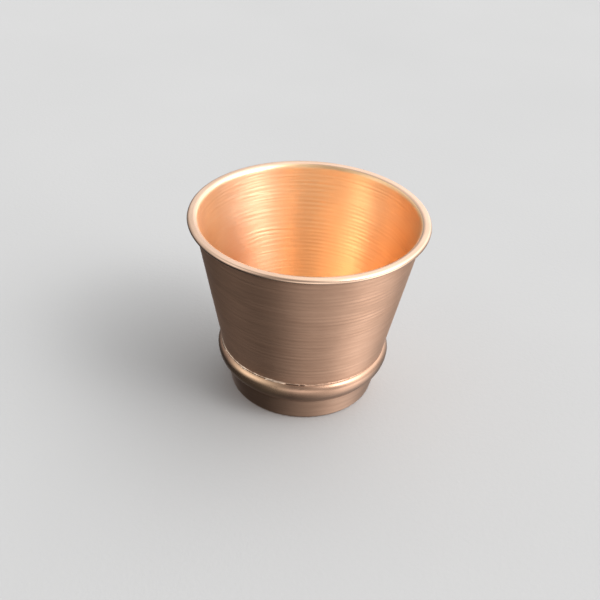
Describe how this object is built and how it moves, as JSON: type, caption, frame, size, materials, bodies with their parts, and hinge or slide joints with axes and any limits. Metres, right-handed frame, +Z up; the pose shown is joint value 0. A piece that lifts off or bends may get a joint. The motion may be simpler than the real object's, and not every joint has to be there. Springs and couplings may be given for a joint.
{
  "type": "bar jigger",
  "caption": "Single-ended copper measuring cup: tapered spun cup with a rolled rim, soldered into a separate beaded foot ring.",
  "frame": {"origin": "centre of the flat rest face under the foot", "axes": "+Z up along the cup's axis, out of its mouth; X and Y are free, with -Y towards the viewer of the front and +X to the right"},
  "size_m": [0.056, 0.056, 0.046],
  "materials": {
    "cup_copper": "spun copper, satin with fine circumferential tool lines, warm and untarnished",
    "foot_copper": "spun copper, satin, with a smoother bead",
    "seam_solder": "thin soft solder, wiped and copper-stained, uneven",
    "inner_solder": "soft solder as it flowed, dull silver-grey"
  },
  "bodies": {
    "root": {"cup_shell": "cup_copper", "foot_ring": "foot_copper", "outer_seam_solder": "seam_solder", "inner_solder_fillet": "inner_solder"}
  },
  "joints": []
}
